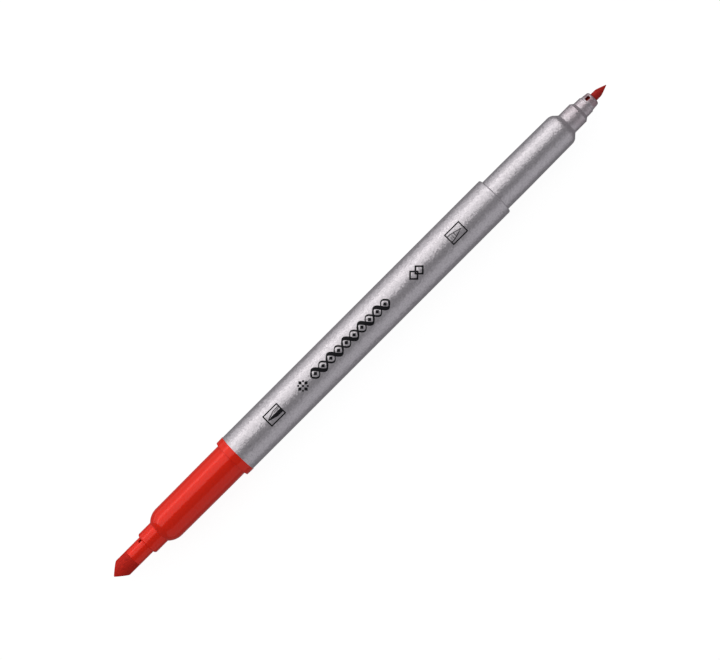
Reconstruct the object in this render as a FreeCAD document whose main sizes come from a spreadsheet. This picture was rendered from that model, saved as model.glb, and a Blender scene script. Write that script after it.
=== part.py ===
# Double-ended calligraphy marker, uncapped: a silver barrel with a pressed-in section at each end,
# a nib holder and a chisel nib in each section, and one wrapped ink core that feeds both nibs.
# The marker lies along X on its collar: broad nib towards -X, slim nib towards +X, print upwards.
# All sizes are in millimetres. The origin is below the middle of the marker, where it rests.
import FreeCAD, Part
import math
import os

import Sketcher

# Each end's stations count outwards from the end of the barrel, so both ends read the same way.
sizes = {
    # barrel: a tube with six inner ribs that hold the ink core in the middle
    "barrel_start": -39.85,
    "barrel_length": 83.6,
    "barrel_radius": 5.0,
    "bore_radius": 4.1,
    "lip_rounding": 0.35,
    "core_guide_radius": 3.25,
    "barrel_rib_half": 0.4,
    "barrel_rib_gap": 8.5,
    "rib_root": 0.1,
    # skirts: the plugs of both sections, pressed into the barrel
    "skirt_length": 8.0,
    "skirt_lead": 0.4,
    # broad section: collar, grip, rounded shoulder and boss
    "collar_length": 1.95,
    "collar_radius": 5.1,
    "collar_draft": 0.04,
    "collar_easing": 0.15,
    "cap_land_length": 6.0,
    "broad_grip_radius": 4.35,
    "broad_grip_end": 22.35,
    "broad_grip_end_radius": 4.28,
    "broad_shoulder_bend": 4.65,
    "broad_shoulder_end": 25.55,
    "broad_shoulder_end_radius": 3.0,
    "broad_boss_end": 29.65,
    "broad_boss_radius": 2.91,
    "broad_boss_rounding": 0.5,
    "broad_core_stop": 18.15,
    "broad_throat_radius": 2.05,
    "broad_seat_start": 20.15,
    # broad nib holder and nib
    "broad_holder_end": 34.1,
    "broad_holder_radius": 2.3,
    "broad_holder_bore": 1.95,
    "broad_slot_length": 0.8,
    "broad_slot_half": 0.32,
    "broad_slot_turn": 45.0,
    "broad_rib_half": 0.25,
    "broad_shank_radius": 1.7,
    "broad_head_radius": 2.29,
    "broad_wedge_start": 37.4,
    "broad_tip": 39.9,
    "broad_edge_half": 0.09,
    "broad_tail_radius": 0.7,
    # fine section: grip, rounded shoulder, cone, boss and nose ring
    "fine_grip_radius": 4.26,
    "fine_grip_end": 21.05,
    "fine_grip_end_radius": 4.13,
    "fine_shoulder_bend": 2.2,
    "fine_shoulder_end": 22.35,
    "fine_shoulder_end_radius": 3.71,
    "fine_neck_start": 23.17,
    "fine_neck_start_radius": 2.95,
    "fine_neck_bend": 0.6,
    "fine_neck_end": 23.54,
    "fine_boss_radius": 2.77,
    "fine_boss_end": 27.0,
    "fine_ring_start": 27.75,
    "fine_ring_radius": 2.2,
    "fine_ring_end": 29.8,
    "fine_ring_end_radius": 2.14,
    "fine_ring_easing": 0.12,
    "fine_core_stop": 16.25,
    "fine_air_radius": 2.6,
    "fine_air_end": 20.8,
    "fine_throat_radius": 1.3,
    "fine_seat_start": 22.25,
    "fine_seat_radius": 1.6,
    # fine nib holder and nib
    "fine_tip_root_radius": 1.96,
    "fine_tip_radius": 1.79,
    "fine_tip_rounding": 0.5,
    "fine_holder_end": 31.95,
    "fine_holder_bore": 1.25,
    "fine_window_start": 30.07,
    "fine_window_length": 1.25,
    "fine_window_half": 0.45,
    "fine_window_turn": -28.0,
    "fine_rib_half": 0.18,
    "fine_nib_radius": 1.0,
    "fine_wedge_start": 33.6,
    "fine_tip_end": 36.0,
    "fine_edge_half": 0.07,
    "fine_tail_radius": 0.4,
    # ink core and its wrapper
    "core_radius": 3.1,
    "film_thickness": 0.1,
    "tail_depth": 8.0,
    "tail_cone": 2.0,
}

doc = FreeCAD.newDocument("calligraphy_marker")
sheet = doc.addObject("Spreadsheet::Sheet", "sizes")
for row, (alias, value) in enumerate(sizes.items(), start=1):
    sheet.set("A%d" % row, alias)
    sheet.set("B%d" % row, str(value))
    sheet.setAlias("B%d" % row, alias)
doc.recompute()

bodies = []


# A size is written as words, such as "skirt_length - skirt_lead". amount() works out its number,
# and bound() gives the same sum as an expression on the sheet's cells.
def amount(words):
    total = 0.0
    sign = 1
    for word in words.split():
        if word in ("+", "-"):
            sign = 1 if word == "+" else -1
        else:
            total += sign * (sizes[word] if word in sizes else float(word))
    return total


def bound(words):
    return " ".join("sizes." + word if word in sizes else word for word in words.split())


def originFeature(body, role):
    return next(feature for feature in body.Origin.OriginFeatures if feature.Role == role)


# A body points outwards along its own +X from the barrel's end where its piece sits: side is -1
# at the broad end and +1 at the fine end. turn spins the piece about its own axis, in degrees.
def newBody(name, side, start, turn=0.0):
    body = doc.addObject("PartDesign::Body", name)
    body.Label = name
    facing = FreeCAD.Rotation(FreeCAD.Vector(0, 0, 1), 0 if side > 0 else 180)
    spin = FreeCAD.Rotation(FreeCAD.Vector(1, 0, 0), turn)
    place = FreeCAD.Vector(amount(start), 0, amount("collar_radius"))
    body.Placement = FreeCAD.Placement(place, facing.multiply(spin))
    body.setExpression("Placement.Base.x", bound(start))
    body.setExpression("Placement.Base.z", bound("collar_radius"))
    bodies.append(body)
    return body


def broadBody(name, turn=0.0):
    return newBody(name, -1, "barrel_start", turn)


def fineBody(name, turn=0.0):
    return newBody(name, 1, "barrel_start + barrel_length", turn)


def newSketch(body, name, role="XY_Plane"):
    sketch = body.newObject("Sketcher::SketchObject", name)
    sketch.AttachmentSupport = [(originFeature(body, role), "")]
    sketch.MapMode = "FlatFace"
    return sketch


def bindConstraint(sketch, name, constraint, words):
    number = sketch.addConstraint(constraint)
    sketch.renameConstraint(number, name)
    sketch.setExpression("Constraints." + name, bound(words))


# Holds one corner of a sketch at its two sizes. A size of "0" puts it on the axis itself.
def pinCorner(sketch, edge, end, corner, name):
    ways = (("DistanceX", "across", corner[0], -2), ("DistanceY", "out", corner[1], -1))
    for kind, way, words, axis in ways:
        if words == "0":
            sketch.addConstraint(Sketcher.Constraint("PointOnObject", edge, end, axis))
        else:
            distance = Sketcher.Constraint(kind, -1, 1, edge, end, amount(words))
            bindConstraint(sketch, way + name, distance, words)


# The arc of this radius from one point to another, turning left (hand 1) or right (hand -1).
def bentRun(start, end, radius, hand):
    chord = end - start
    inward = FreeCAD.Vector(-chord.y, chord.x, 0) * (hand / chord.Length)
    centre = (start + end) * 0.5 + inward * math.sqrt(radius ** 2 - (chord.Length / 2) ** 2)
    ends = (start, end) if hand > 0 else (end, start)
    angles = [math.atan2(point.y - centre.y, point.x - centre.x) for point in ends]
    return Part.ArcOfCircle(Part.Circle(centre, FreeCAD.Vector(0, 0, 1), radius), *angles)


# Draws a closed outline. A corner is (along, out), or (along, out, radius, hand) where the run
# to the next corner is an arc: hand is 1 for a left turn and -1 for a right turn.
def drawOutline(sketch, corners, mark="A"):
    points = [FreeCAD.Vector(amount(corner[0]), amount(corner[1]), 0) for corner in corners]
    edges = []
    for index, corner in enumerate(corners):
        start = points[index]
        end = points[(index + 1) % len(points)]
        if len(corner) == 2:
            edges.append((sketch.addGeometry(Part.LineSegment(start, end), False), 1, 2))
            continue
        words, hand = corner[2:]
        edge = sketch.addGeometry(bentRun(start, end, amount(words), hand), False)
        edges.append((edge, 1, 2) if hand > 0 else (edge, 2, 1))
        radius = Sketcher.Constraint("Radius", edge, amount(words))
        bindConstraint(sketch, "bend%s%d" % (mark, index), radius, words)
    for index, corner in enumerate(corners):
        edge, first, last = edges[index]
        following, start, end = edges[(index + 1) % len(edges)]
        sketch.addConstraint(Sketcher.Constraint("Coincident", edge, last, following, start))
        pinCorner(sketch, edge, first, corner, "%s%d" % (mark, index))


def revolve(body, corners):
    sketch = newSketch(body, body.Name + "_outline")
    drawOutline(sketch, corners)
    turned = body.newObject("PartDesign::Revolution", body.Name + "_turned")
    turned.Profile = sketch
    turned.ReferenceAxis = (sketch, ["H_Axis"])
    turned.Angle = 360
    doc.recompute()


# Cuts right through the body, both ways, and makes sure that something was taken away.
def cutThrough(body, name, outlines):
    before = body.Shape.Volume
    sketch = newSketch(body, name + "_outline")
    for mark, corners in zip("AB", outlines):
        drawOutline(sketch, corners, mark)
    pocket = body.newObject("PartDesign::Pocket", name)
    pocket.Profile = sketch
    pocket.Type = "ThroughAll"
    pocket.Midplane = True
    doc.recompute()
    assert body.Shape.Volume < before - 0.01, name + " cut nothing"


# Ribs along a bore: one rib is padded along the axis and repeated round it.
def addRibs(body, name, count, start, length, half, inner, turn=0.0):
    before = body.Shape.Volume
    sketch = newSketch(body, name + "_outline", "YZ_Plane")
    spin = FreeCAD.Rotation(FreeCAD.Vector(0, 0, 1), turn)
    sketch.AttachmentOffset = FreeCAD.Placement(FreeCAD.Vector(0, 0, amount(start)), spin)
    sketch.setExpression("AttachmentOffset.Base.z", bound(start))
    reach, root = inner
    drawOutline(sketch, [("0 - " + half, reach), (half, reach), (half, root), ("0 - " + half, root)])
    pad = body.newObject("PartDesign::Pad", name)
    pad.Profile = sketch
    pad.Length = amount(length)
    pad.setExpression("Length", bound(length))
    doc.recompute()
    ring = body.newObject("PartDesign::PolarPattern", name + "_ring")
    ring.Originals = [pad]
    ring.Axis = (originFeature(body, "X_Axis"), [""])
    ring.Angle = 360
    ring.Occurrences = count
    body.Tip = ring
    doc.recompute()
    assert body.Shape.Volume > before + 0.01, name + " added nothing"


# Both sections start with the same plug, a skirt that is pressed into the barrel.
skirt = [
    ("0 - skirt_length", "core_guide_radius"),
    ("0 - skirt_length", "bore_radius - skirt_lead"),
    ("skirt_lead - skirt_length", "bore_radius"),
    ("0", "bore_radius"),
]


def buildBarrel():
    body = newBody("barrel", 1, "barrel_start")
    revolve(body, [
        ("0", "bore_radius"),
        ("barrel_length", "bore_radius"),
        ("barrel_length", "barrel_radius - lip_rounding", "lip_rounding", 1),
        ("barrel_length - lip_rounding", "barrel_radius"),
        ("0", "barrel_radius"),
    ])
    addRibs(body, "core_ribs", 6, "barrel_rib_gap", "barrel_length - barrel_rib_gap - barrel_rib_gap",
            "barrel_rib_half", ("core_guide_radius", "bore_radius + rib_root"))


def buildBroadSection():
    revolve(broadBody("broad_section"), skirt + [
        ("0", "collar_radius"),
        ("collar_length - collar_easing", "collar_radius - collar_draft", "collar_easing", -1),
        ("collar_length", "collar_radius - collar_draft - collar_easing"),
        ("collar_length", "broad_grip_radius"),
        ("collar_length + cap_land_length", "broad_grip_radius"),
        ("broad_grip_end", "broad_grip_end_radius", "broad_shoulder_bend", -1),
        ("broad_shoulder_end", "broad_shoulder_end_radius"),
        ("broad_shoulder_end", "broad_boss_radius"),
        ("broad_boss_end - broad_boss_rounding", "broad_boss_radius", "broad_boss_rounding", -1),
        ("broad_boss_end", "broad_boss_radius - broad_boss_rounding"),
        ("broad_boss_end", "broad_holder_radius"),
        ("broad_seat_start", "broad_holder_radius"),
        ("broad_seat_start", "broad_throat_radius"),
        ("broad_core_stop", "broad_throat_radius"),
        ("broad_core_stop", "core_guide_radius"),
    ])


def buildFineSection():
    revolve(fineBody("fine_section"), skirt + [
        ("0", "fine_grip_radius"),
        ("cap_land_length", "fine_grip_radius"),
        ("fine_grip_end", "fine_grip_end_radius", "fine_shoulder_bend", -1),
        ("fine_shoulder_end", "fine_shoulder_end_radius"),
        ("fine_neck_start", "fine_neck_start_radius", "fine_neck_bend", 1),
        ("fine_neck_end", "fine_boss_radius"),
        ("fine_boss_end", "fine_boss_radius"),
        ("fine_ring_start", "fine_ring_radius"),
        ("fine_ring_end - fine_ring_easing", "fine_ring_end_radius"),
        ("fine_ring_end", "fine_ring_end_radius - fine_ring_easing"),
        ("fine_ring_end", "fine_seat_radius"),
        ("fine_seat_start", "fine_seat_radius"),
        ("fine_seat_start", "fine_throat_radius"),
        ("fine_air_end", "fine_throat_radius"),
        ("fine_air_end", "fine_air_radius"),
        ("fine_core_stop", "fine_air_radius"),
        ("fine_core_stop", "core_guide_radius"),
    ])


# Its four ribs grip the nib and leave channels, which the two slots beside the boss open to the air.
def buildBroadHolder():
    body = broadBody("broad_nib_holder", sizes["broad_slot_turn"])
    revolve(body, [
        ("broad_seat_start", "broad_holder_bore"),
        ("broad_seat_start", "broad_holder_radius"),
        ("broad_holder_end", "broad_holder_radius"),
        ("broad_holder_end", "broad_holder_bore"),
    ])
    addRibs(body, "broad_grip_ribs", 4, "broad_seat_start", "broad_holder_end - broad_seat_start",
            "broad_rib_half", ("broad_shank_radius", "broad_holder_bore + rib_root"), turn=45.0)
    cutThrough(body, "broad_air_slots", [[
        ("broad_boss_end", "0 - broad_slot_half"),
        ("broad_boss_end + broad_slot_length", "0 - broad_slot_half"),
        ("broad_boss_end + broad_slot_length", "broad_slot_half"),
        ("broad_boss_end", "broad_slot_half"),
    ]])


def buildFineHolder():
    body = fineBody("fine_nib_holder", sizes["fine_window_turn"])
    revolve(body, [
        ("fine_seat_start", "fine_holder_bore"),
        ("fine_seat_start", "fine_seat_radius"),
        ("fine_ring_end", "fine_seat_radius"),
        ("fine_ring_end", "fine_tip_root_radius"),
        ("fine_holder_end - fine_tip_rounding", "fine_tip_radius", "fine_tip_rounding", -1),
        ("fine_holder_end", "fine_holder_bore"),
    ])
    addRibs(body, "fine_grip_ribs", 4, "fine_seat_start", "fine_holder_end - fine_seat_start",
            "fine_rib_half", ("fine_nib_radius", "fine_holder_bore + rib_root"), turn=45.0)
    cutThrough(body, "fine_air_windows", [[
        ("fine_window_start", "0 - fine_window_half"),
        ("fine_window_start + fine_window_length", "0 - fine_window_half"),
        ("fine_window_start + fine_window_length", "fine_window_half"),
        ("fine_window_start", "fine_window_half"),
    ]])


# A chisel: two flat faces run from the full width of the nib to its writing edge.
def cutChisel(body, name, start, tip, radius, edge):
    cutThrough(body, name, [
        [(start, radius), (tip, edge), (tip, radius)],
        [(start, "0 - " + radius), (tip, "0 - " + edge), (tip, "0 - " + radius)],
    ])


# The head rests on the holder's rim, and the narrower shank runs back into the ink core.
def buildBroadNib():
    body = broadBody("broad_nib")
    revolve(body, [
        ("broad_core_stop - tail_depth", "0"),
        ("broad_core_stop - tail_depth", "broad_tail_radius"),
        ("broad_core_stop - tail_depth + tail_cone", "broad_shank_radius"),
        ("broad_holder_end", "broad_shank_radius"),
        ("broad_holder_end", "broad_head_radius"),
        ("broad_tip", "broad_head_radius"),
        ("broad_tip", "0"),
    ])
    cutChisel(body, "broad_chisel", "broad_wedge_start", "broad_tip", "broad_head_radius",
              "broad_edge_half")


def buildFineNib():
    body = fineBody("fine_nib")
    revolve(body, [
        ("fine_core_stop - tail_depth", "0"),
        ("fine_core_stop - tail_depth", "fine_tail_radius"),
        ("fine_core_stop - tail_depth + tail_cone", "fine_nib_radius"),
        ("fine_tip_end", "fine_nib_radius"),
        ("fine_tip_end", "0"),
    ])
    cutChisel(body, "fine_chisel", "fine_wedge_start", "fine_tip_end", "fine_nib_radius",
              "fine_edge_half")


# The core runs from one section's stop to the other's, with a socket for the nib's tail in each end.
def buildCore():
    body = newBody("ink_reservoir", 1, "barrel_start")
    revolve(body, [
        ("0 - broad_core_stop + tail_depth", "0"),
        ("0 - broad_core_stop + tail_depth", "broad_tail_radius"),
        ("0 - broad_core_stop + tail_depth - tail_cone", "broad_shank_radius"),
        ("0 - broad_core_stop", "broad_shank_radius"),
        ("0 - broad_core_stop", "core_radius"),
        ("barrel_length + fine_core_stop", "core_radius"),
        ("barrel_length + fine_core_stop", "fine_nib_radius"),
        ("barrel_length + fine_core_stop - tail_depth + tail_cone", "fine_nib_radius"),
        ("barrel_length + fine_core_stop - tail_depth", "fine_tail_radius"),
        ("barrel_length + fine_core_stop - tail_depth", "0"),
    ])


def buildFilm():
    body = newBody("reservoir_film", 1, "barrel_start")
    revolve(body, [
        ("0 - broad_core_stop", "core_radius"),
        ("0 - broad_core_stop", "core_radius + film_thickness"),
        ("barrel_length + fine_core_stop", "core_radius + film_thickness"),
        ("barrel_length + fine_core_stop", "core_radius"),
    ])


buildBarrel()
buildBroadSection()
buildFineSection()
buildBroadHolder()
buildFineHolder()
buildBroadNib()
buildFineNib()
buildCore()
buildFilm()
doc.recompute()

for item in doc.Objects:
    assert "Invalid" not in item.State and "Error" not in item.State, item.Name + " failed"
for body in bodies:
    solid = body.Shape
    assert not solid.isNull() and solid.isValid() and len(solid.Solids) == 1, body.Label + " is not sound"

os.makedirs("parts", exist_ok=True)
for body in bodies:
    body.Shape.exportStep("parts/" + body.Label + ".step")
    box = body.Shape.BoundBox
    print("%-18s x %.2f to %.2f, %.1f mm3" % (body.Label, box.XMin, box.XMax, body.Shape.Volume))
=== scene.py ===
import math

import bmesh
import bpy
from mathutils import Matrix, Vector, noise


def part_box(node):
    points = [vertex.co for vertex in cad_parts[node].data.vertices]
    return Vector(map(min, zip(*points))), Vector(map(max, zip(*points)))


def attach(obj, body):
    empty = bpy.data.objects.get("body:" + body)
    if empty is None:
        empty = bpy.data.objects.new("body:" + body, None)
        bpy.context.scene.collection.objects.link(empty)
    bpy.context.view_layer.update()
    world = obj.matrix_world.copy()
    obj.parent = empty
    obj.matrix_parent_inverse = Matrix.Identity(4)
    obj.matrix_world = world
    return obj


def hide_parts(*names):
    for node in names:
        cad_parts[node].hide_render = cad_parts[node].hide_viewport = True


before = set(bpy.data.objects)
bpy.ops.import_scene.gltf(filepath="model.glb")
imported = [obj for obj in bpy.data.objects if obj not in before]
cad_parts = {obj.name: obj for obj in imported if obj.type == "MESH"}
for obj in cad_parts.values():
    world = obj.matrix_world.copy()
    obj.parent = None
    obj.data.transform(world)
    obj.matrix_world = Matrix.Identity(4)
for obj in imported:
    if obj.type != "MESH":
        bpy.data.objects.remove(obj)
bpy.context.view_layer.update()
mm = 0.001

# Places that the whole script shares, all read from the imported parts.
barrelLow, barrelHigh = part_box("barrel")
barrelRadius = (barrelHigh.z - barrelLow.z) / 2
axisHeight = (barrelHigh.z + barrelLow.z) / 2


# A socket with arithmetic, so that shader sums read like sums.
class Wire:
    def __init__(self, finish, socket):
        self.finish = finish
        self.socket = socket

    def maths(self, operation, *values):
        settings = {"operation": operation}
        return self.finish.node("Math", settings, dict(enumerate(values)))

    def __add__(self, other):
        return self.maths("ADD", self, other)

    def __radd__(self, other):
        return self.maths("ADD", other, self)

    def __sub__(self, other):
        return self.maths("SUBTRACT", self, other)

    def __rsub__(self, other):
        return self.maths("SUBTRACT", other, self)

    def __mul__(self, other):
        return self.maths("MULTIPLY", self, other)

    def __rmul__(self, other):
        return self.maths("MULTIPLY", other, self)

    def __pow__(self, other):
        return self.maths("POWER", self, other)

    def __lt__(self, other):
        return self.maths("LESS_THAN", self, other)


class Finish:
    def __init__(self, name):
        self.material = bpy.data.materials.new(name)
        self.material.use_nodes = True
        self.tree = self.material.node_tree
        self.tree.nodes.clear()

    # Any node: its type, its settings (a ramp's stops among them), then its sockets' values or wires.
    def node(self, kind, settings=None, sockets=None, out=0):
        made = self.tree.nodes.new("ShaderNode" + kind)
        for name, value in (settings or {}).items():
            if name == "stops":
                self.setStops(made.color_ramp, value)
            else:
                setattr(made, name, value)
        for name, value in (sockets or {}).items():
            if isinstance(value, Wire):
                self.tree.links.new(value.socket, made.inputs[name])
            else:
                made.inputs[name].default_value = value
        return Wire(self, made.outputs[out]) if made.outputs else None

    def setStops(self, ramp, stops):
        ramp.interpolation = "EASE"
        while len(ramp.elements) < len(stops):
            ramp.elements.new(1.0)
        for element, (place, level) in zip(ramp.elements, stops):
            element.position = place
            element.color = (level, level, level, 1.0)

    def places(self):  # the marker's own coordinates, in metres
        return self.node("TexCoord", out="Object")

    def noise(self, size, detail=2.0, along=None):  # grains of this size, longer along the marker if told
        scale = (1 / (along or size), 1 / size, 1 / size)
        where = self.node("Mapping", {"vector_type": "POINT"}, {"Vector": self.places(), "Scale": scale})
        return self.node("TexNoise", {}, {"Vector": where, "Scale": 1.0, "Detail": detail}, out="Fac")

    def ramp(self, value, stops):
        return self.node("ValToRGB", {"stops": stops}, {"Fac": value})

    def mixColours(self, first, second, share, blend="MIX"):
        settings = {"data_type": "RGBA", "blend_type": blend}
        return self.node("Mix", settings, {0: share, 6: first, 7: second}, out=2)

    def bump(self, height, depth, strength=1.0):
        return self.node("Bump", {}, {"Height": height, "Distance": depth, "Strength": strength})

    def axis(self):  # how far a place is along the marker, and how far out from its middle line
        along = self.node("SeparateXYZ", {}, {"Vector": self.places()}, out="X")
        split = along.socket.node
        across = Wire(self, split.outputs["Y"])
        above = Wire(self, split.outputs["Z"]) - axisHeight
        return along, (across * across + above * above) ** 0.5

    def surface(self, **sockets):  # a space in a socket's name is written as an underscore
        named = {name.replace("_", " "): value for name, value in sockets.items()}
        shader = self.node("BsdfPrincipled", {}, named)
        self.node("OutputMaterial", {}, {"Surface": shader})
        return self.material


def colour(red, green, blue):
    return (red, green, blue, 1.0)


# Silver pearl plastic: tiny flakes tilt the light, and a soft cloud of denser pigment runs under them.
silver = {
    "base": colour(0.72, 0.685, 0.72),
    "thin": colour(0.60, 0.57, 0.60),
    "metallic": 0.85,
    "roughness": 0.29,
    "flakeSize": 0.17 * mm,
    "flakeTilt": 0.27,
    "mottleSize": 0.34 * mm,
    "mottleTilt": 0.17,
    "unevenness": 0.06,
}


def silverPearl(name, size, stainAndBoreShade=None):
    finish = Finish(name)
    where = finish.places()
    flakes = finish.node("TexVoronoi", {"feature": "F1"},
                         {"Vector": where, "Scale": 1 / size["flakeSize"]}, out="Color")
    mottle = finish.node("TexNoise", {}, {"Vector": where, "Scale": 1 / size["mottleSize"],
                                          "Detail": 2.0}, out="Color")
    facing = finish.node("NewGeometry", out="Normal")
    for pattern, tilt in ((flakes, size["flakeTilt"]), (mottle, size["mottleTilt"])):
        lean = finish.node("VectorMath", {"operation": "SUBTRACT"}, {0: pattern, 1: (0.5, 0.5, 0.5)})
        lean = finish.node("VectorMath", {"operation": "SCALE"}, {0: lean, "Scale": tilt})
        facing = finish.node("VectorMath", {"operation": "ADD"}, {0: facing, 1: lean})
    facing = finish.node("VectorMath", {"operation": "NORMALIZE"}, {0: facing})
    grain = finish.noise(size["mottleSize"], detail=3.0)
    base = finish.mixColours(size["thin"], size["base"], finish.ramp(grain, [(0.35, 0.0), (0.6, 1.0)]))
    rough = size["roughness"] + size["unevenness"] * (grain - 0.5)
    # Ink stain towards the nib, plus painted shade: the bore wall gets the darker wet colour.
    if stainAndBoreShade:
        share = stainAndBoreShadeShare(finish, stainAndBoreShade)
        tint = finish.mixColours(stainAndBoreShade["colour"], stainAndBoreShade["wet"], inBore(finish, stainAndBoreShade))
        base = finish.mixColours(base, tint, share)
        rough = rough + stainAndBoreShade["dulling"] * share
    return finish.surface(Base_Color=base, Metallic=size["metallic"], Roughness=rough, Normal=facing, IOR=1.5)


# Mask for the painted shade on the bore wall.
def inBore(finish, stainAndBoreShade):  # 1 on the wall of the bore that a nib sits in, 0 everywhere else
    return finish.axis()[1] < stainAndBoreShade["bore"]


# Ink that has crept over the plastic towards a nib, and a darker colour on the bore the nib sits in, which is
# painted shade for that dark recess.
def stainAndBoreShadeShare(finish, stainAndBoreShade):
    along, out = finish.axis()
    inside = out < stainAndBoreShade["bore"]
    near = finish.node("MapRange", {"interpolation_type": "SMOOTHSTEP"},
                       {"Value": along, "From Min": stainAndBoreShade["start"], "From Max": stainAndBoreShade["end"]})
    creep = finish.ramp(finish.noise(stainAndBoreShade["creep"], detail=3.0), [(0.3, 0.45), (0.7, 1.0)])
    outside = near * creep * stainAndBoreShade["share"]
    return outside + inside * (1 - outside)


# Red glossy plastic: the broad section and its nib holder.
red = {
    "base": colour(1.0, 0.020, 0.002),
    "shade": colour(0.98, 0.018, 0.002),
    "metallic": 0.22,
    "roughness": 0.3,
    "grainSize": 0.6 * mm,
    "rippleSize": 0.35 * mm,
    "ripple": 0.001 * mm,
    "coat": 0.75,
    "coatRoughness": 0.06,
}


def redPlastic(name, size, stainAndBoreShade=None):
    finish = Finish(name)
    grain = finish.noise(size["grainSize"], detail=3.0)
    base = finish.mixColours(size["shade"], size["base"], finish.ramp(grain, [(0.3, 0.0), (0.65, 1.0)]))
    # Painted shade: the bore wall behind the air slot gets the darker wet red.
    if stainAndBoreShade:
        base = finish.mixColours(base, stainAndBoreShade["wet"], inBore(finish, stainAndBoreShade))
    relief = finish.bump(finish.noise(size["rippleSize"], detail=1.0), size["ripple"])
    return finish.surface(Base_Color=base, Metallic=size["metallic"], Roughness=size["roughness"],
                          Specular_IOR_Level=0.0, Normal=relief, Coat_Weight=size["coat"],
                          Coat_Roughness=size["coatRoughness"])


# Bonded fibre, soaked in ink: streaks along the marker, random darker patches, and painted shade in the gaps
# between the fibres.
felt = {
    "wet": colour(0.71, 0.024, 0.012),
    "dark": colour(0.46, 0.012, 0.008),
    "fibre": 0.07 * mm,
    "fibreLength": 0.9 * mm,
    "patch": 0.5 * mm,
    "depth": 0.03 * mm,
    "relief": 0.7,
}
slimFelt = dict(felt, wet=colour(0.51, 0.024, 0.018), dark=colour(0.34, 0.013, 0.010))


def feltFinish(name, size):
    finish = Finish(name)
    fibres = finish.noise(size["fibre"], detail=2.0, along=size["fibreLength"])
    patches = finish.noise(size["patch"], detail=2.0)
    # Painted shade: the felt turns dark where the fibre bump sinks, mixed with random darker patches.
    share = finish.ramp(0.65 * fibres + 0.35 * patches, [(0.3, 0.0), (0.6, 1.0)])
    base = finish.mixColours(size["dark"], size["wet"], share)
    relief = finish.bump(fibres, size["depth"], size["relief"])
    return finish.surface(Base_Color=base, Roughness=0.62, Specular_IOR_Level=0.12, Normal=relief)


# Printing ink: nearly black, thin enough to break up slightly over the flakes below.
ink = {
    "solid": colour(0.006, 0.006, 0.008),
    "worn": colour(0.022, 0.021, 0.024),
    "grainSize": 0.12 * mm,
}


def inkFinish(name, size):
    finish = Finish(name)
    grain = finish.noise(size["grainSize"], detail=2.0)
    base = finish.mixColours(size["solid"], size["worn"], finish.ramp(grain, [(0.45, 0.0), (0.7, 1.0)]))
    return finish.surface(Base_Color=base, Roughness=0.5 + 0.1 * grain, Specular_IOR_Level=0.12)


# The clear film round the ink core, seen only when the marker is taken apart.
film = {
    "colour": colour(0.80, 0.74, 0.74),
    "streak": colour(0.70, 0.30, 0.30),
    "streakWidth": 0.8 * mm,
    "streakLength": 6 * mm,
}


def filmFinish(name, size):
    finish = Finish(name)
    streaks = finish.noise(size["streakWidth"], detail=2.0, along=size["streakLength"])
    streaks = finish.ramp(streaks, [(0.45, 0.0), (0.75, 0.6)])
    base = finish.mixColours(size["colour"], size["streak"], streaks)
    return finish.surface(Base_Color=base, Roughness=0.25 + 0.1 * streaks)


print("materials")
# slotBoreShade is only painted shade for the bore behind the broad air slot; the other two add ink stain
# towards the nib and painted shade in the bore.
slotBoreShade = {"wet": colour(0.75, 0.015, 0.010), "bore": 2.1 * mm}
noseInkAndBoreShade = {"colour": colour(0.40, 0.22, 0.26), "wet": colour(0.20, 0.012, 0.016), "share": 0.32,
           "start": 63.5 * mm, "end": 70.5 * mm, "creep": 0.8 * mm, "bore": 1.65 * mm,
           "dulling": 0.35}
holderInkAndBoreShade = dict(noseInkAndBoreShade, colour=colour(0.38, 0.20, 0.23), share=0.8, start=73.4 * mm, end=74.4 * mm,
                 bore=1.5 * mm)
silverMaterial = silverPearl("silverPearl", silver)
noseMaterial = silverPearl("noseSilver", silver, noseInkAndBoreShade)
greyHolderMaterial = silverPearl("stainedSilverAndBoreShade", silver, holderInkAndBoreShade)
redMaterial = redPlastic("redPlastic", red)
redHolderMaterial = redPlastic("redHolder", red, slotBoreShade)
feltMaterial = feltFinish("redFelt", felt)
slimFeltMaterial = feltFinish("slimRedFelt", slimFelt)
inkMaterial = inkFinish("blackInk", ink)
filmMaterial = filmFinish("clearFilm", film)


def paint(node, material):
    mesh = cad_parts[node].data
    mesh.materials.clear()
    mesh.materials.append(material)


paint("barrel", silverMaterial)
paint("fine_section", noseMaterial)
paint("fine_nib_holder", greyHolderMaterial)
paint("broad_section", redMaterial)
paint("broad_nib_holder", redHolderMaterial)
paint("broad_nib", feltMaterial)
paint("fine_nib", slimFeltMaterial)
paint("ink_reservoir", feltMaterial)
paint("reservoir_film", filmMaterial)


def newPiece(name, shell, material, smooth=True):
    bmesh.ops.recalc_face_normals(shell, faces=shell.faces)
    mesh = bpy.data.meshes.new(name)
    shell.to_mesh(mesh)
    shell.free()
    mesh.materials.append(material)
    if smooth:
        mesh.shade_smooth()
    piece = bpy.data.objects.new(name, mesh)
    bpy.context.scene.collection.objects.link(piece)
    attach(piece, "root")
    return piece


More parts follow.
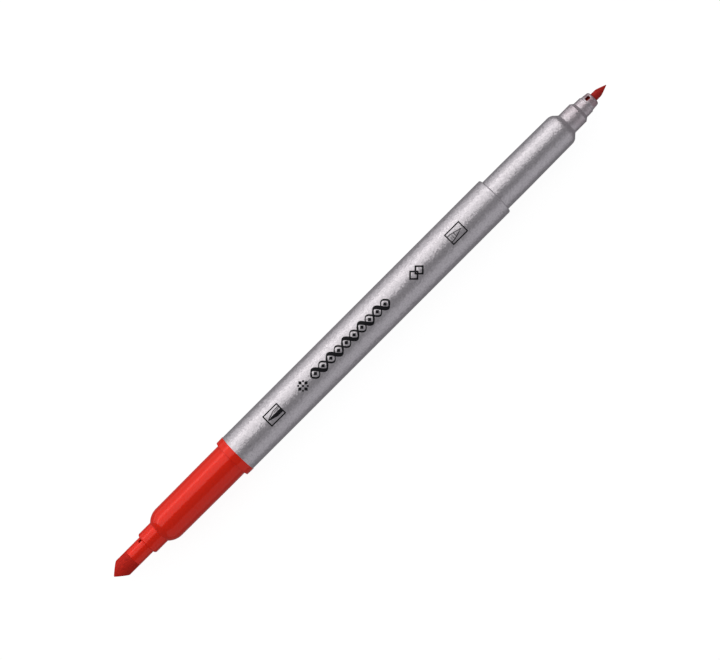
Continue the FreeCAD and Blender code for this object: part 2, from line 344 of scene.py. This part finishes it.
# Felt nibs: a turned rod whose tip is pared from both sides to a softly worn writing edge.
paring = {
    "around": 112,  # points in a ring
    "edgeLoss": 0.6,  # how much of the wear comes off the edge's thickness and width
    "blend": 0.14 * mm,
    "thinnest": 0.012 * mm,
    "smallest": 0.05 * mm,
    "step": 0.01 * mm,
    "fuzzAlong": 1.1,  # swells of the fuzz in a millimetre
    "fuzzAround": 11,
}
broadNib = {
    "wedge": 2.5 * mm,
    "shankRadius": 1.7 * mm,
    "tailRadius": 0.7 * mm,
    "tailCone": 2.0 * mm,
    "edgeHalf": 0.09 * mm,
    "wear": 0.16 * mm,
    "shoulderRounding": 0.12 * mm,
    "fuzz": 0.014 * mm,
}
fineNib = {
    "wedge": 2.4 * mm,
    "shankRadius": 1.0 * mm,
    "tailRadius": 0.4 * mm,
    "tailCone": 2.0 * mm,
    "edgeHalf": 0.07 * mm,
    "wear": 0.1 * mm,
    "shoulderRounding": 0.0,
    "fuzz": 0.01 * mm,
}


def softLimit(value, limit, blend):  # value, but never past limit, with a rounded turn between them
    size = abs(value)
    overlap = max(blend - abs(size - limit), 0.0)
    return math.copysign(min(size, limit) - overlap * overlap / (4 * blend), value)


def steps(start, end, count):
    return [start + (end - start) * index / count for index in range(count)]


# Stations run from the tail to the tip, as (depth behind the tip, radius).
def nibStations(size, length, headLength, headRadius):
    shank = size["shankRadius"]
    stations = [(length, size["tailRadius"])]
    stations += [(depth, shank) for depth in steps(length - size["tailCone"], headLength, 6)]
    stations.append((headLength, shank))
    rounding = size["shoulderRounding"]
    if rounding:
        for turn in steps(0, math.pi / 2, 6):
            stations.append((headLength - rounding + rounding * math.cos(turn),
                             headRadius - rounding + rounding * math.sin(turn)))
    stations += [(depth, headRadius) for depth in steps(headLength - rounding - paring["step"],
                                                       size["wedge"], 24)]
    stations += [(depth, headRadius) for depth in steps(size["wedge"], size["wear"], 36)]
    stations += [(size["wear"] * (1 - math.sin(turn)), headRadius) for turn in steps(0, math.pi / 2, 9)]
    stations.append((0.0, headRadius))
    return stations


def nibRing(size, depth, radius, headRadius, place):
    wedge = size["edgeHalf"] + (headRadius - size["edgeHalf"]) * min(depth / size["wedge"], 1.3)
    worn = 0.0
    if depth < size["wear"]:
        worn = size["wear"] - math.sqrt(max(size["wear"] ** 2 - (size["wear"] - depth) ** 2, 0.0))
    lost = paring["edgeLoss"] * worn
    ring = []
    for index in range(paring["around"]):
        turn = 2 * math.pi * index / paring["around"]
        swell = Vector((depth / mm * paring["fuzzAlong"], paring["fuzzAround"] * math.cos(turn),
                         paring["fuzzAround"] * math.sin(turn)))
        fuzz = size["fuzz"] * (0.5 + 0.5 * noise.noise(swell))
        reach = max(radius - fuzz - lost, paring["smallest"])
        flat = max(wedge - lost - 0.5 * fuzz, paring["thinnest"])
        side = softLimit(reach * math.sin(turn), flat, min(paring["blend"], flat))
        ring.append(place(depth, side, reach * math.cos(turn)))
    return ring


def buildNib(name, node, holder, toward, size, material):
    low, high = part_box(node)
    holderLow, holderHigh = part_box(holder)
    tip = high.x if toward > 0 else low.x
    rim = holderHigh.x if toward > 0 else holderLow.x
    headRadius = (high.z - low.z) / 2

    def place(depth, side, up):
        return Vector((tip - toward * depth, side, axisHeight + up))

    shell = bmesh.new()
    rings = []
    for depth, radius in nibStations(size, high.x - low.x, abs(tip - rim), headRadius):
        rings.append([shell.verts.new(spot) for spot in nibRing(size, depth, radius, headRadius, place)])
    count = len(rings[0])
    for first, second in zip(rings, rings[1:]):
        for index in range(count):
            after = (index + 1) % count
            shell.faces.new((first[index], first[after], second[after], second[index]))
    for ring in (rings[0], rings[-1]):
        shell.faces.new(ring)
    piece = newPiece(name, shell, material)
    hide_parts(node)
    return piece


print("nibs")
buildNib("broad_felt_nib", "broad_nib", "broad_nib_holder", -1, broadNib, feltMaterial)
buildNib("fine_felt_nib", "fine_nib", "fine_nib_holder", 1, fineNib, slimFeltMaterial)


# Prints lie on the barrel as thin skins of ink. A print's own places are in millimetres: first along the
# marker, then round it towards +Y, both from the middle of that print.
printing = {
    "thickness": 0.010 * mm,
    "sunk": 0.02 * mm,
    "layer": 0.0012 * mm,
    "cell": 0.22,
    "raised": 0.31,
}


class Print:
    def __init__(self, middle):
        self.middle = middle
        self.shell = bmesh.new()
        self.layers = 0

    def spot(self, along, around, lift):
        turn = (around + printing["raised"]) * mm / barrelRadius
        out = barrelRadius + lift
        return self.shell.verts.new(((self.middle + along) * mm, out * math.sin(turn),
                                     axisHeight + out * math.cos(turn)))

    # Inks the strip between two lines that have the same number of points, in cells small enough to curve.
    def band(self, first, second, closed=False):
        first, second = self.divided(first, second, closed)
        widest = max(math.dist(here, there) for here, there in zip(first, second))
        cells = max(1, math.ceil(widest / printing["cell"]))
        top = printing["thickness"] + self.layers * printing["layer"]
        self.layers += 1
        sheets = []
        for lift in (top, -printing["sunk"]):
            rows = []
            for here, there in zip(first, second):
                shares = [index / cells for index in range(cells + 1)]
                rows.append([self.spot(here[0] + (there[0] - here[0]) * share,
                                       here[1] + (there[1] - here[1]) * share, lift) for share in shares])
            sheets.append(rows)
        upper, lower = sheets
        last = len(upper) if closed else len(upper) - 1
        face = self.shell.faces.new
        for row in range(last):
            after = (row + 1) % len(upper)
            for cell in range(cells):
                for rows in sheets:
                    face((rows[row][cell], rows[row][cell + 1], rows[after][cell + 1], rows[after][cell]))
            for edge in (0, cells):
                face((upper[row][edge], upper[after][edge], lower[after][edge], lower[row][edge]))
        if not closed:
            for row in (0, len(upper) - 1):
                for cell in range(cells):
                    face((upper[row][cell], upper[row][cell + 1], lower[row][cell + 1], lower[row][cell]))

    def divided(self, first, second, closed):
        lines = ([], [])
        for index in range(len(first) if closed else len(first) - 1):
            after = (index + 1) % len(first)
            longest = max(math.dist(line[index], line[after]) for line in (first, second))
            parts = max(1, math.ceil(longest / printing["cell"]))
            for part in range(parts):
                for line, source in zip(lines, (first, second)):
                    here, there = source[index], source[after]
                    line.append((here[0] + (there[0] - here[0]) * part / parts,
                                 here[1] + (there[1] - here[1]) * part / parts))
        if not closed:
            lines[0].append(first[-1])
            lines[1].append(second[-1])
        return lines

    # A line of even or changing width through the points, with mitred corners.
    def stroke(self, points, width, closed=False):
        widths = width if isinstance(width, list) else [width] * len(points)
        left = []
        right = []
        for index, point in enumerate(points):
            before = points[index - 1] if index or closed else point
            after = points[(index + 1) % len(points)] if index + 1 < len(points) or closed else point
            come = Vector((point[0] - before[0], point[1] - before[1]))
            go = Vector((after[0] - point[0], after[1] - point[1]))
            come = (come if come.length else go).normalized()
            go = (go if go.length else come).normalized()
            along = (come + go).normalized()
            reach = widths[index] / 2 / max(along.dot(go), 0.35)
            left.append((point[0] - along.y * reach, point[1] + along.x * reach))
            right.append((point[0] + along.y * reach, point[1] - along.x * reach))
        self.band(left, right, closed)

    def lozenge(self, along, around, halfAlong, halfAround):
        shares = (-0.97, -0.5, 0.0, 0.5, 0.97)
        above = [(along + share * halfAlong, around + (1 - abs(share)) * halfAround) for share in shares]
        below = [(along + share * halfAlong, around - (1 - abs(share)) * halfAround) for share in shares]
        self.band(above, below)

    def finish(self, name):
        return newPiece(name, self.shell, inkMaterial, smooth=False)


print("prints")


def frameBox(sheet, halfAlong, halfAround, line):
    sheet.stroke([(-halfAlong, -halfAround), (halfAlong, -halfAround), (halfAlong, halfAround),
                  (-halfAlong, halfAround)], line, closed=True)


# Picture of the broad end: a blunt nib that points to it, lit from above.
broadPicture = {
    "middle": -27.5,
    "box": (2.15, 1.48),
    "line": 0.31,
    "topLine": 0.20,
    "shineLine": 0.15,
    "top": [(-1.86, -0.06), (-1.25, 0.24), (-0.40, 0.40), (0.18, 0.76), (2.12, 0.76)],
    "shine": [(0.30, 0.42), (2.12, 0.42)],
    "solid": [(-1.90, -0.06), (-1.08, 0.10), (-0.37, 0.12), (0.50, 0.10), (2.15, 0.10)],
    "underside": [(-1.90, -0.14), (-1.08, -0.40), (-0.37, -0.60), (0.50, -0.84), (2.15, -0.84)],
}


def buildBroadPicture(size):
    sheet = Print(size["middle"])
    frameBox(sheet, *size["box"], size["line"])
    sheet.stroke(size["top"], size["topLine"])
    sheet.stroke(size["shine"], size["shineLine"])
    sheet.band(size["solid"], size["underside"])
    return sheet.finish("nib_picture_broad")


# Picture of the slim end: an outlined nose with a thin nib.
slimPicture = {
    "middle": 31.1,
    "box": (2.2, 1.48),
    "line": 0.31,
    "noseLine": 0.19,
    "ringLine": 0.14,
    "nose": [(-2.12, 0.75), (-1.35, 0.75), (-0.66, 0.56), (0.24, 0.32), (0.72, 0.22), (1.50, -0.02),
             (0.72, -0.26), (0.24, -0.40), (-0.66, -0.66), (-1.35, -0.83), (-2.12, -0.83)],
    "rings": [[(-1.06, 0.64), (-1.06, -0.72)], [(-0.43, 0.47), (-0.43, -0.56)]],
}


def buildSlimPicture(size):
    sheet = Print(size["middle"])
    frameBox(sheet, *size["box"], size["line"])
    sheet.stroke(size["nose"], size["noseLine"])
    for ring in size["rings"]:
        sheet.stroke(ring, size["ringLine"])
    return sheet.finish("nib_picture_slim")


# A twist of two waves as a broad pen draws them, one thick and one thin, with a lozenge in each eye.
twist = {
    "middle": -3.0,
    "length": 24.9,
    "turns": 5,
    "height": 1.12,
    "thick": {"side": -1, "pen": 0.92, "hairline": 0.34},
    "thin": {"side": 1, "pen": 0.44, "hairline": 0.24},
    "penAngle": 38.0,
    "lozenge": (0.56, 0.50),
}


def buildTwist(size):
    sheet = Print(size["middle"])
    count = 40 * size["turns"]
    pace = 2 * math.pi * size["turns"] / size["length"]
    for strand in (size["thin"], size["thick"]):
        points = []
        widths = []
        for index in range(count + 1):
            along = size["length"] * (index / count - 0.5)
            swing = strand["side"] * size["height"]
            phase = pace * along
            slope = math.atan(swing * pace * math.cos(phase))
            points.append((along, swing * math.sin(phase)))
            turn = abs(math.sin(slope - math.radians(size["penAngle"])))
            widths.append(strand["hairline"] + (strand["pen"] - strand["hairline"]) * turn)
        sheet.stroke(points, widths)
    eyes = 2 * size["turns"]
    for index in range(eyes):
        sheet.lozenge(size["length"] * ((index + 0.5) / eyes - 0.5), 0.0, *size["lozenge"])
    return sheet.finish("ornament_twist")


# Four pen lozenges set round a small one, with four buds between them.
rosette = {
    "middle": -18.2,
    "reach": 0.98,
    "petal": (0.58, 0.46),
    "bud": (0.30, 0.30),
    "budReach": 0.78,  # as a share of the reach
    "heart": 0.34,
}


def buildRosette(size):
    sheet = Print(size["middle"])
    long, short = size["petal"]
    for along in (1, -1):
        sheet.lozenge(along * size["reach"], 0.0, long, short)
    for around in (1, -1):
        sheet.lozenge(0.0, around * size["reach"], short, long)
    bud = size["reach"] * size["budReach"]
    for along, around in ((1, 1), (1, -1), (-1, 1), (-1, -1)):
        sheet.lozenge(along * bud, around * bud, *size["bud"])
    sheet.lozenge(0.0, 0.0, size["heart"], size["heart"])
    return sheet.finish("ornament_rosette")


# Two outlined diamonds, one over the other.
diamonds = {
    "middle": 18.35,
    "apart": 0.85,
    "half": 1.2,
    "line": 0.40,
}


def buildDiamonds(size):
    sheet = Print(size["middle"])
    half = size["half"]
    for along in (-size["apart"], size["apart"]):
        sheet.stroke([(along - half, 0.0), (along, -half), (along + half, 0.0), (along, half)],
                     size["line"], closed=True)
    return sheet.finish("ornament_diamonds")


buildBroadPicture(broadPicture)
buildSlimPicture(slimPicture)
buildTwist(twist)
buildRosette(rosette)
buildDiamonds(diamonds)

# Camera: straight above the marker, turned so that it runs from lower left to upper right.
print("camera")
camera = {
    "height": 0.52,
    "frameWidth": 0.1656,
    "turn": -44.98,
    "aside": 0.14 * mm,
}
lens = bpy.data.cameras.new("camera")
lens.sensor_width = 36.0
lens.lens = lens.sensor_width * camera["height"] / camera["frameWidth"]
eye = bpy.data.objects.new("camera", lens)
eye.location = (0.0, camera["aside"], axisHeight + camera["height"])
eye.rotation_euler = (0.0, 0.0, math.radians(camera["turn"]))
bpy.context.scene.collection.objects.link(eye)
bpy.context.scene.camera = eye

# Lights: long soft panels beside the marker, each given by the arc of sky that it covers.
print("lights")
panels = {  # from and to are degrees from straight up, towards +Y; level is how bright a panel looks
    "key": {"from": 12, "to": 50, "level": 0.86, "distance": 0.60, "tint": (1.0, 0.99, 0.98)},
    "side": {"from": 50, "to": 78, "level": 0.78, "distance": 0.60, "tint": (1.0, 0.99, 0.98)},
    "core": {"from": 55, "to": 67, "level": 0.92, "distance": 0.58, "tint": (1.0, 0.985, 0.97)},
    "low": {"from": 78, "to": 112, "level": 0.50, "distance": 0.60, "tint": (1.0, 0.99, 1.0)},
    "fill": {"from": -42, "to": -106, "level": 0.29, "distance": 0.60, "tint": (0.97, 0.97, 1.0)},
}
panelLength = 1.5


def lightPanel(name, panel):
    middle = math.radians((panel["from"] + panel["to"]) / 2)
    half = math.radians(abs(panel["to"] - panel["from"]) / 2)
    width = 2 * panel["distance"] * math.tan(half)
    data = bpy.data.lights.new(name, "AREA")
    data.shape = "RECTANGLE"
    data.size = panelLength
    data.size_y = width
    data.color = panel["tint"]
    data.energy = panel["level"] * math.pi * panelLength * width
    lamp = bpy.data.objects.new(name, data)
    lamp.location = (0.0, panel["distance"] * math.sin(middle),
                     axisHeight + panel["distance"] * math.cos(middle))
    lamp.rotation_euler = (-middle, 0.0, 0.0)
    lamp.visible_camera = False
    bpy.context.scene.collection.objects.link(lamp)


for name, panel in panels.items():
    lightPanel(name, panel)

room = {"colour": colour(0.97, 0.965, 1.0), "level": 0.2}
world = bpy.data.worlds.new("studio")
world.use_nodes = True
background = world.node_tree.nodes["Background"]
background.inputs["Color"].default_value = room["colour"]
background.inputs["Strength"].default_value = room["level"]
bpy.context.scene.world = world

# Floor and backdrop: pale, and left out of the marker's reflections.
print("floor")
pale = {
    "floorColour": 0.14,
    "floorGlow": 0.94,
    "backdropGlow": 1.0,
    "reach": 3.0,
}


def paleMaterial(name, level, glow):
    finish = Finish(name)
    return finish.surface(Base_Color=colour(level, level, level), Roughness=0.9,
                          Emission_Color=colour(1.0, 1.0, 1.0), Emission_Strength=glow)


def stagePiece(name, shell, material):
    mesh = bpy.data.meshes.new(name)
    shell.to_mesh(mesh)
    shell.free()
    mesh.materials.append(material)
    piece = bpy.data.objects.new(name, mesh)
    bpy.context.scene.collection.objects.link(piece)
    piece.visible_glossy = False
    piece.visible_diffuse = False
    piece.visible_shadow = False
    return piece


floorShell = bmesh.new()
bmesh.ops.create_grid(floorShell, x_segments=1, y_segments=1, size=pale["reach"])
stagePiece("floor", floorShell, paleMaterial("paleFloor", pale["floorColour"], pale["floorGlow"]))
backdropShell = bmesh.new()
bmesh.ops.create_uvsphere(backdropShell, u_segments=48, v_segments=24, radius=pale["reach"])
stagePiece("backdrop", backdropShell, paleMaterial("paleBackdrop", 0.0, pale["backdropGlow"]))

view = bpy.context.scene.view_settings
view.view_transform = "Standard"
view.look = "None"
